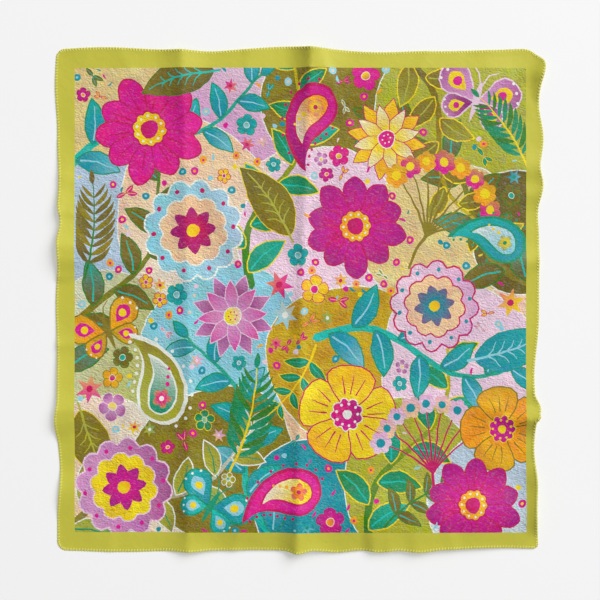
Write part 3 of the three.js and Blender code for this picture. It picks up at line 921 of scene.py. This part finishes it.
def cut_artwork(shapes, step):
    """Cuts the cut cloth along every outline that shows. Returns its points, its triangles
    and the uppermost shape of each triangle."""
    points, edges, painted = [], [], []
    for index, shape in enumerate(shapes):
        if index < 2:
            outline = plain(shape["outline"])
        else:
            outline = clipped(by_hand(shape["outline"]), PRINT_HALF)
        if len(outline) < 3:
            continue
        if area_of(outline) < 0:
            outline = outline[::-1]
        if area_of(outline) < 1:
            continue
        loop = range(len(points), len(points) + len(outline))
        edges += zip(loop, [*loop[1:], loop[0]])
        points += outline
        painted.append((index, np.array(outline)))
    places, triangles, tops = triangles_of(points, edges, painted)
    seen = seen_edges(triangles.tolist(), tops.tolist())
    used = sorted({k for edge in seen for k in edge})
    number = {k: n for n, k in enumerate(used)}
    points = places[used].tolist()
    points += net_points(step, {cell_of(p) for p in points})
    return triangles_of(points, [(number[a], number[b]) for a, b in seen], painted)


def triangles_of(points, edges, painted):
    """The plane cut into triangles along the edges, with the uppermost shape of each."""
    made = geometry.delaunay_2d_cdt([(p.real, p.imag) for p in points], edges, [], 0, 0.02, False)
    places = np.array([complex(v[0], v[1]) for v in made[0]])
    triangles = np.array(made[2])
    middles = places[triangles].mean(axis=1)
    tops = np.zeros(len(triangles), int)
    for index, outline in painted:
        tops[inside_of(outline, middles)] = index
    return places, triangles, tops


def seen_edges(triangles, tops):
    """The edges with another uppermost shape, or none, on their other side."""
    top_of = {}
    for triangle, top in zip(triangles, tops):
        for edge in zip(triangle, [*triangle[1:], triangle[0]]):
            top_of[edge] = top
    seen = []
    for (a, b), top in top_of.items():
        beyond = top_of.get((b, a))
        if beyond is None or (a < b and beyond != top):
            seen.append((a, b))
    return seen


def inside_of(outline, places):
    """Which of the places lie inside an outline, by their row numbers."""
    found = np.nonzero(
        (places.real > outline.real.min())
        & (places.real < outline.real.max())
        & (places.imag > outline.imag.min())
        & (places.imag < outline.imag.max())
    )[0]
    near = places[found]
    turns = np.zeros(len(near), int)
    for a, b in zip(outline, np.roll(outline, -1)):
        up = (a.imag <= near.imag) & (b.imag > near.imag)
        down = (a.imag > near.imag) & (b.imag <= near.imag)
        side = ((b - a).conjugate() * (near - a)).imag
        turns += (up & (side > 0)).astype(int) - (down & (side < 0))
    return found[turns != 0]


def linear(ink):
    """An ink's colour as light, from red, green and blue from 0 to 255."""
    return np.array([((c / 255 + 0.055) / 1.055) ** 2.4 for c in ink])


def corner_inks(shapes, places, triangles, tops):
    """The colour and the grain of each corner of each triangle."""
    colours = np.zeros((len(triangles), 3, 3))
    grains = np.zeros((len(triangles), 3))
    for index in np.unique(tops):
        shape = shapes[index]
        rows = tops == index
        heading = complex(shape["heading"]).conjugate()
        along = (np.array(shape["outline"]) * heading).real
        share = ((places[triangles[rows]] * heading).real - along.min()) / (np.ptp(along) + 1e-6)
        share = np.clip(share, 0, 1)[..., None]
        ink, wash = linear(INKS[shape["ink"]]), linear(INKS[shape["wash"]])
        colours[rows] = ink + (wash - ink) * share**1.6 * 0.75
        grains[rows] = shape["grain"]
    return colours, grains


# Shader maths
class Wire:
    """A shader socket. Arithmetic on it adds Math nodes."""

    def __init__(self, paint, socket):
        self.paint = paint
        self.socket = socket

    def maths(self, operation, *values):
        return self.paint.add("ShaderNodeMath", {"operation": operation}, dict(enumerate(values)))

    def __add__(self, other):
        return self.maths("ADD", self, other)

    __radd__ = __add__

    def __sub__(self, other):
        return self.maths("SUBTRACT", self, other)

    def __rsub__(self, other):
        return self.maths("SUBTRACT", other, self)

    def __mul__(self, other):
        return self.maths("MULTIPLY", self, other)

    __rmul__ = __mul__

    def clamped(self):
        return self.paint.add("ShaderNodeClamp", {}, {"Value": self})


class Paint:
    """A material's nodes."""

    def __init__(self, name):
        self.material = bpy.data.materials.new(name)
        self.material.use_nodes = True
        self.nodes = self.material.node_tree.nodes
        self.links = self.material.node_tree.links
        self.nodes.clear()

    def add(self, kind, settings=None, sockets=None, out=0):
        """Adds a node, with its settings first and then its sockets' values or links."""
        node = self.nodes.new(kind)
        for key, value in (settings or {}).items():
            setattr(node, key, value)
        for key, value in (sockets or {}).items():
            if isinstance(value, Wire):
                self.links.new(value.socket, node.inputs[key])
            else:
                node.inputs[key].default_value = value
        return Wire(self, node.outputs[out])

    def mixed(self, factor, a, b):
        """One colour turning into another."""
        inputs = {0: factor, 6: a, 7: b}
        return self.add("ShaderNodeMix", {"data_type": "RGBA"}, inputs, 2)

    def scaled(self, colour, by):
        return self.add("ShaderNodeVectorMath", {"operation": "SCALE"}, {0: colour, "Scale": by})

    def moved(self, vector, by):
        return self.add("ShaderNodeVectorMath", {"operation": "ADD"}, {0: vector, 1: by})

    def noise(self, vector, scale, detail=2.0, distortion=0.0):
        sockets = {"Vector": vector, "Scale": scale, "Detail": detail, "Distortion": distortion}
        return self.add("ShaderNodeTexNoise", {}, sockets)

    def bump(self, height, distance, strength=1.0):
        sockets = {"Height": height, "Distance": distance, "Strength": strength}
        return self.add("ShaderNodeBump", {}, sockets)

    def finish(self, sockets):
        """The cloth shader and the output, and the finished material."""
        surface = self.add("ShaderNodeBsdfPrincipled", {}, sockets)
        output = self.nodes.new("ShaderNodeOutputMaterial")
        self.links.new(surface.socket, output.inputs["Surface"])
        return self.material


# How fine each unevenness of the silk is, as a count to the metre
STROKES, CRINKLE, WASH, TINT, CLOUD, TWILL = 400, 90, 60, 34, 14, 740
EMBOSS = 0.0011  # between the two sides of a raised stroke of ink
TINT_SHIFT = (0.3, 0.1, 0)  # so that the tint doesn't follow the cloud
FLECK_SHIFT = 0.02
PALE = (0.9, 0.88, 0.85, 1)  # bare silk between strokes


def printed_silk():
    """Ink on silk: grainy like paint on rough paper in the artwork, plain in the border,
    over a fine twill with a soft sheen."""
    paint = Paint("printed_silk")
    place = paint.add("ShaderNodeTexCoord", out="Object")
    ink = paint.add("ShaderNodeAttribute", {"attribute_name": "ink"}, out="Color")
    grain = paint.add("ShaderNodeAttribute", {"attribute_name": "grain"}, out="Fac")

    def strokes(shift):
        drawn = {"Vector": paint.moved(place, (shift, shift, 0)), "Rotation": (0, 0, -0.25), "Scale": (2, 1, 1)}
        drawn_out = paint.add("ShaderNodeMapping", {"vector_type": "TEXTURE"}, drawn)
        return paint.noise(drawn_out, STROKES, 2.5, 1.5)

    relief = strokes(0) - strokes(EMBOSS)
    wash = paint.noise(place, WASH, 3.0, 0.6)
    cloud = paint.noise(place, CLOUD)
    tint = paint.noise(paint.moved(place, TINT_SHIFT), TINT, 2.0, 0.8)
    toned = paint.add(
        "ShaderNodeHueSaturation",
        {},
        {"Hue": 0.5 + (tint - 0.5) * grain * 0.09, "Saturation": 1 + grain * ((wash - 0.5) * 0.5 + 0.1), "Color": ink},
    )
    light = 1 + grain * (relief * 1.6 + (wash - 0.5) * 0.45 + (tint - 0.5) * 0.3 - 0.07) + (cloud - 0.5) * 0.05
    fleck = ((strokes(FLECK_SHIFT) - 0.53) * 4).clamped() * grain * 0.55
    colour = paint.mixed(fleck, paint.scaled(toned, light), paint.mixed(0.34, ink, PALE))
    twill = paint.add(
        "ShaderNodeTexWave",
        {"wave_type": "BANDS", "bands_direction": "DIAGONAL"},
        {"Vector": place, "Scale": TWILL, "Distortion": 0.4},
        "Fac",
    )
    crinkle = paint.noise(place, CRINKLE, 3.0, 0.5)
    return paint.finish(
        {
            "Base Color": colour,
            "Roughness": 0.5 + (crinkle - 0.5) * 0.16,
            "Normal": paint.bump(twill * 0.07 + crinkle + relief * grain * 0.1, 0.0009, 0.4),
            "Sheen Weight": 0.12,
            "Sheen Roughness": 0.4,
            "Specular IOR Level": 0.35,
        }
    )


HEM_MOTTLE, THREAD_TWIST, THREAD_FUZZ, FLOOR_MOTTLE = 700, 900, 260, 3


def hem_silk(colour):
    """The rolled edge, in the border's colour, mottled a little darker at random."""
    paint = Paint("hem_silk")
    place = paint.add("ShaderNodeTexCoord", out="Object")
    mottle = paint.noise(place, HEM_MOTTLE)
    return paint.finish(
        {
            "Base Color": paint.mixed(mottle, (*colour, 1), (*(c * 0.8 for c in colour), 1)),
            "Roughness": 0.55 + mottle * 0.1,
            "Normal": paint.bump(mottle, 0.0003, 0.4),
            "Sheen Weight": 0.1,
        }
    )


def overlock_thread(colour):
    """Twisted silk thread."""
    paint = Paint("overlock_thread")
    place = paint.add("ShaderNodeTexCoord", out="Object")
    twist = paint.add(
        "ShaderNodeTexWave",
        {"wave_type": "BANDS", "bands_direction": "DIAGONAL"},
        {"Vector": place, "Scale": THREAD_TWIST, "Distortion": 1.5},
        "Fac",
    )
    fuzz = paint.noise(place, THREAD_FUZZ)
    light = tuple(min(1, c * 1.2) for c in colour)
    return paint.finish(
        {
            "Base Color": paint.mixed(fuzz, (*colour, 1), (*light, 1)),
            "Roughness": 0.42 + twist * 0.12,
            "Normal": paint.bump(twist, 0.0002, 0.6),
            "Sheen Weight": 0.15,
        }
    )


def pale_floor(colour, glow):
    """A pale surface with a painted glow: it gives off a little light of its own, with no lamp under it, so its shadows
    stay soft.
    """
    paint = Paint("pale_floor")
    place = paint.add("ShaderNodeTexCoord", out="Object")
    mottle = paint.noise(place, FLOOR_MOTTLE)
    shade = paint.mixed(mottle, (*colour, 1), (*(c * 0.985 for c in colour), 1))
    return paint.finish(
        {
            "Base Color": shade,
            "Roughness": 0.85 + mottle * 0.05,
            "Specular IOR Level": 0.1,
            # painted glow: the floor's own light, which lifts its shadows
            "Emission Color": (1, 1, 1, 1),
            "Emission Strength": glow,
        }
    )


# Making pieces
def new_piece(name, points, faces, material, node=None):
    """A mesh piece in metres that rides on the scarf's one body."""
    mesh = bpy.data.meshes.new(name)
    mesh.from_pydata([tuple(p) for p in points], [], [tuple(f) for f in faces])
    mesh.polygons.foreach_set("use_smooth", np.ones(len(mesh.polygons), bool))
    mesh.materials.append(material)
    piece = bpy.data.objects.new(name, mesh)
    bpy.context.scene.collection.objects.link(piece)
    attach(piece, "root")
    if node:
        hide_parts(node)
    return piece


def framed(places, heights):
    """Laid places and heights in millimetres as points of the frame, in metres."""
    places = np.asarray(places) - MIDDLE
    return np.stack([places.real, places.imag, heights], axis=1) * MM


EDGE_INSET = 1.5  # the silk ends inside the rolled hem, this far from the outline
UNDER = 0.12  # between the surface and the silk where it rests
HEM_RISE = 0.28  # how far the silk comes up to the hem
HEM_REACH = 9.0


def cloth_height(places, from_edge, ripple):
    """The height of the silk's underside, raised beside the hem."""
    near = np.clip(1 - from_edge / HEM_REACH, 0, 1)
    return UNDER + lift_at(places, ripple) + HEM_RISE * near**2 * (3 - 2 * near)


class ClothSizes(bpy.types.PropertyGroup):
    """Sizes of the silk, its hem and its stitches."""

    thickness: FloatProperty(
        name="Silk", description="Thickness of the silk", default=0.0003, min=0.0001, unit="LENGTH"
    )
    net: FloatProperty(
        name="Net", description="Distance between the places where the silk bends", default=0.006, unit="LENGTH"
    )
    ripple: FloatProperty(
        name="Unevenness", description="Height of the soft unevenness between the folds", default=0.0008, unit="LENGTH"
    )
    hem_width: FloatProperty(
        name="Hem width", description="Width of the rolled hem", default=0.0026, unit="LENGTH"
    )
    hem_height: FloatProperty(
        name="Hem height", description="Height of the rolled hem", default=0.0006, unit="LENGTH"
    )
    thread: FloatProperty(
        name="Thread", description="Width of the overlock thread", default=0.0018, unit="LENGTH"
    )
    pitch: FloatProperty(
        name="Stitch", description="Distance from one overlock stitch to the next", default=0.004, unit="LENGTH"
    )
    seed: IntProperty(name="Seed", description="Where the small motifs of the print fall", default=7)


class ClothColours(bpy.types.PropertyGroup):
    """Colours of the hem, its thread and the back of the silk."""

    hem: FloatVectorProperty(
        name="Hem", description="Colour of the rolled hem", subtype="COLOR", default=tuple(linear((206, 200, 82)))
    )
    thread: FloatVectorProperty(
        name="Thread", description="Colour of the thread", subtype="COLOR", default=tuple(linear((226, 221, 102)))
    )
    back_paleness: FloatProperty(
        name="Back", description="How pale the print is on the back", default=0.3, min=0, max=1, subtype="FACTOR"
    )


class StageSettings(bpy.types.PropertyGroup):
    """The floor, the light and the camera."""

    floor: FloatVectorProperty(
        name="Floor", description="Colour of the surface", subtype="COLOR", default=(0.64, 0.64, 0.64)
    )
    # painted glow: light that the floor gives off itself, which softens its shadows
    glow: FloatProperty(name="Glow", description="Light that comes through the surface", default=0.33)
    key_power: FloatProperty(name="Key light", description="Power of the key light", default=2400, subtype="POWER")
    ambient: FloatProperty(name="Ambient", description="Strength of the light all round", default=0.28)
    view_width: FloatProperty(
        name="View width", description="Width of the surface that the camera sees", default=0.828, unit="LENGTH"
    )
    lens: FloatProperty(name="Lens", description="Focal length in millimetres", default=85)


class SCARF_OT_lay_panel(bpy.types.Operator):
    """Lay the printed silk panel on the surface"""

    bl_idname = "scarf.lay_panel"
    bl_label = "Lay the printed panel"

    def execute(self, context):
        sizes, colours = context.scene.scarf_sizes, context.scene.scarf_colours
        shapes = paint_artwork(sizes.seed)
        places, triangles, tops = cut_artwork(shapes, sizes.net / MM)
        inks, grains = corner_inks(shapes, places, triangles, tops)
        laid = np.array([laid_place(p, EDGE_INSET) for p in places])
        from_edge = CUT_HALF - np.maximum(np.abs(places.real), np.abs(places.imag))
        under = cloth_height(laid, from_edge, sizes.ripple / MM)
        points = np.concatenate([framed(laid, under + sizes.thickness / MM), framed(laid, under)])
        count = len(places)
        steps = {(a, b) for t in triangles.tolist() for a, b in zip(t, [*t[1:], t[0]])}
        rim = [(a, b) for a, b in steps if (b, a) not in steps]
        walls = [(b, a, a + count, b + count) for a, b in sorted(rim)]
        faces = [*triangles.tolist(), *(triangles[:, ::-1] + count).tolist(), *walls]
        panel = new_piece("printed_panel", points, faces, printed_silk(), "panel")
        mesh = panel.data
        walled = {tuple(sorted(step)) for wall in walls for step in zip(wall, (*wall[1:], wall[0]))}
        mesh.edges.foreach_set("use_edge_sharp", [tuple(sorted(edge.vertices)) in walled for edge in mesh.edges])

        white = linear(INKS["white"])
        backs = (inks + (white - inks) * colours.back_paleness)[:, ::-1]
        wall_inks = np.tile(linear(INKS["border"]), (4 * len(walls), 1))
        all_inks = np.concatenate([inks.reshape(-1, 3), backs.reshape(-1, 3), wall_inks])
        all_grains = np.concatenate([grains.ravel(), grains[:, ::-1].ravel() * 0.6, np.zeros(4 * len(walls))])
        ink = mesh.color_attributes.new("ink", "FLOAT_COLOR", "CORNER")
        ink.data.foreach_set("color", np.column_stack([all_inks, np.ones(len(all_inks))]).ravel())
        grain = mesh.attributes.new("grain", "FLOAT", "CORNER")
        grain.data.foreach_set("value", all_grains)
        mesh.update()
        return {"FINISHED"}


def hem_path(side):
    """Along a side's hem: how far each place is along it, the place and the way out."""
    low, high = SIDE_ENDS[side]
    alongs = np.linspace(low, high, round((high - low) / HEM_STEP) + 1)
    edge = np.array([outline_point(side, a) for a in alongs])
    beyond = np.array([inset_point(side, a, -1) for a in alongs])
    return alongs, edge, beyond - edge


HEM_SIDES = 12  # flats round the rolled edge
HEM_STEP = 1.0
PINCH = 0.07  # how much the stitches draw the rolled edge in, as a share
STITCH_LEAN = 0.9
STITCH_SLANT = 2.0  # how far a stitch goes along the hem on its way over
OVER_STEPS = 6  # steps of the thread over the rolled edge
THREAD_CLEAR = 0.15  # between the rolled edge and the middle of the thread, sideways
THREAD_LIFT = 0.03  # and upwards
BITES = ((0.4, 0.03), (0.9, -0.2))  # past the hem, and over the silk, as it goes in
THREAD_SIDES = 6
THREAD_FLATNESS = 0.16
THREAD_TIP = 0.6  # of its width, at both ends of a stitch


class SCARF_OT_roll_hems(bpy.types.Operator):
    """Roll the edge of the silk into a hem on each side"""

    bl_idname = "scarf.roll_hems"
    bl_label = "Roll the hems"

    def execute(self, context):
        sizes, colours = context.scene.scarf_sizes, context.scene.scarf_colours
        width, height = sizes.hem_width / MM / 2, sizes.hem_height / MM / 2
        material = hem_silk(colours.hem)
        for side in SIDES:
            alongs, edge, out = hem_path(side)
            middles = edge - out * width
            base = cloth_height(middles, np.zeros(len(middles)), sizes.ripple / MM) - HEM_RISE
            rings = []
            for k in range(HEM_SIDES):
                turn = math.tau * k / HEM_SIDES
                pinch = 1 + PINCH * np.cos(math.tau * alongs / (sizes.pitch / MM) + turn * STITCH_LEAN)
                rings.append(
                    framed(middles + out * width * math.cos(turn) * pinch, base + height * (1 + math.sin(turn) * pinch))
                )
            points = np.stack(rings, axis=1).reshape(-1, 3)
            count = len(alongs)
            flip = side in ("top", "left")
            faces = []
            for i in range(count - 1):
                for k in range(HEM_SIDES):
                    a, b = i * HEM_SIDES + k, i * HEM_SIDES + (k + 1) % HEM_SIDES
                    face = (a, a + HEM_SIDES, b + HEM_SIDES, b)
                    faces.append(face[::-1] if flip else face)
            ends = [range(HEM_SIDES), range((count - 1) * HEM_SIDES, count * HEM_SIDES)]
            faces.append(tuple(ends[0])[:: -1 if flip else 1])
            faces.append(tuple(ends[1])[:: 1 if flip else -1])
            hem = new_piece(f"rolled_hem_{side}", points, faces, material, f"hem_{side}")
        return {"FINISHED"}


class SCARF_OT_stitch_hems(bpy.types.Operator):
    """Overlock each hem with thread"""

    bl_idname = "scarf.stitch_hems"
    bl_label = "Stitch the hems"

    def execute(self, context):
        sizes, colours = context.scene.scarf_sizes, context.scene.scarf_colours
        material = overlock_thread(colours.thread)
        pitch = sizes.pitch / MM
        for side in SIDES:
            points, faces = [], []
            low, high = SIDE_ENDS[side]
            for n in range(int((high - low) / pitch)):
                line = stitch_line(side, low + pitch * (n + 0.3), sizes)
                add_thread(points, faces, line, sizes.thread / MM / 2)
            placed = np.array(points)
            placed = framed(placed[:, 0] + 1j * placed[:, 1], placed[:, 2])
            stitches = new_piece(f"overlock_{side}", placed, faces, material)
        return {"FINISHED"}


def stitch_line(side, start, sizes):
    """The way of the thread in one stitch: up round the rolled edge and down into the silk."""
    half_width, half_height = sizes.hem_width / MM / 2, sizes.hem_height / MM / 2
    turns = [math.pi * (0.9 * k / OVER_STEPS - 0.05) for k in range(OVER_STEPS + 1)]
    insets = [half_width - (half_width + THREAD_CLEAR) * math.cos(t) for t in turns]
    lifts = [half_height + (half_height + THREAD_LIFT) * math.sin(t) for t in turns]
    silk = HEM_RISE + sizes.thickness / MM
    insets += [2 * half_width + past for past, _ in BITES]
    lifts += [silk + over for _, over in BITES]
    alongs = np.linspace(start, start + STITCH_SLANT, len(insets))
    path = np.array([inset_point(side, a, i) for a, i in zip(alongs, insets)])
    base = cloth_height(path, np.zeros(len(path)), sizes.ripple / MM) - HEM_RISE
    return np.stack([path.real, path.imag, base + np.array(lifts)], axis=1)


def add_thread(points, faces, line, radius):
    """A closed flattened tube along a line of points, thinner at both ends."""
    start = len(points)
    count = len(line)
    for k, at in enumerate(line):
        heading = line[min(count - 1, k + 1)] - line[max(0, k - 1)]
        across = np.cross(heading, (0, 0, 1))
        across /= np.linalg.norm(across)
        other = np.cross(heading / np.linalg.norm(heading), across)
        size = radius * (THREAD_TIP if k in (0, count - 1) else 1)
        for turn in np.linspace(0, math.tau, THREAD_SIDES, endpoint=False):
            points.append(at + size * (math.cos(turn) * across + THREAD_FLATNESS * math.sin(turn) * other))
    last = start + (count - 1) * THREAD_SIDES
    for k in range(start, last, THREAD_SIDES):
        for s in range(THREAD_SIDES):
            a, b = k + s, k + (s + 1) % THREAD_SIDES
            faces.append((a, b, b + THREAD_SIDES, a + THREAD_SIDES))
    faces.append(tuple(reversed(range(start, start + THREAD_SIDES))))
    faces.append(tuple(range(last, last + THREAD_SIDES)))


class SCARF_OT_set_stage(bpy.types.Operator):
    bl_idname = "scarf.set_stage"
    bl_label = "Set the stage"

    def execute(self, context):
        stage = context.scene.scarf_stage
        floor_mesh = bpy.data.meshes.new("floor")
        half = 4.0
        floor_mesh.from_pydata([(-half, -half, 0), (half, -half, 0), (half, half, 0), (-half, half, 0)], [], [(0, 1, 2, 3)])
        floor_mesh.materials.append(pale_floor(tuple(stage.floor), stage.glow))
        floor = bpy.data.objects.new("floor", floor_mesh)
        context.scene.collection.objects.link(floor)

        world = bpy.data.worlds.new("soft_room")
        world.use_nodes = True
        world.node_tree.nodes["Background"].inputs["Strength"].default_value = stage.ambient
        world.node_tree.nodes["Background"].inputs["Color"].default_value = (1, 1, 1, 1)
        context.scene.world = world
        context.scene.view_settings.view_transform = "Standard"

        add_light("key", (8.53, 7.67, 8.03), 9.5, stage.key_power)

        camera_data = bpy.data.cameras.new("overhead")
        camera_data.lens = stage.lens
        camera_data.sensor_width = 36
        camera = bpy.data.objects.new("overhead", camera_data)
        camera.location = (0, 0, stage.view_width * stage.lens / camera_data.sensor_width)
        context.scene.collection.objects.link(camera)
        context.scene.camera = camera

        return {"FINISHED"}


def add_light(name, place, size, power):
    """A soft square light that faces the middle of the scarf."""
    data = bpy.data.lights.new(name, "AREA")
    data.size = size
    data.energy = power
    light = bpy.data.objects.new(name, data)
    light.location = place
    light.rotation_euler = (-Vector(place)).to_track_quat("-Z", "Y").to_euler()
    bpy.context.scene.collection.objects.link(light)


class SCARF_PT_sidebar(bpy.types.Panel):
    """Shows the scarf's settings and the steps that make it in the sidebar"""

    bl_label = "Silk scarf"
    bl_idname = "SCARF_PT_sidebar"
    bl_space_type = "VIEW_3D"
    bl_region_type = "UI"
    bl_category = "Silk scarf"

    def draw(self, context):
        for group in ("scarf_sizes", "scarf_colours", "scarf_stage"):
            settings = getattr(context.scene, group)
            for key in settings.__annotations__:
                self.layout.prop(settings, key)
        for operator in OPERATORS:
            self.layout.operator(operator.bl_idname)


GROUPS = {"scarf_sizes": ClothSizes, "scarf_colours": ClothColours, "scarf_stage": StageSettings}
OPERATORS = (SCARF_OT_lay_panel, SCARF_OT_roll_hems, SCARF_OT_stitch_hems, SCARF_OT_set_stage)


def register():
    for made in (*GROUPS.values(), *OPERATORS, SCARF_PT_sidebar):
        bpy.utils.register_class(made)
    for key, group in GROUPS.items():
        setattr(bpy.types.Scene, key, PointerProperty(type=group))


def unregister():
    for key in GROUPS:
        delattr(bpy.types.Scene, key)
    for made in reversed((*GROUPS.values(), *OPERATORS, SCARF_PT_sidebar)):
        bpy.utils.unregister_class(made)


def main():
    register()
    bpy.ops.scarf.lay_panel()
    bpy.ops.scarf.roll_hems()
    bpy.ops.scarf.stitch_hems()
    bpy.ops.scarf.set_stage()
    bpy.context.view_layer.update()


if __name__ == "__main__":
    main()
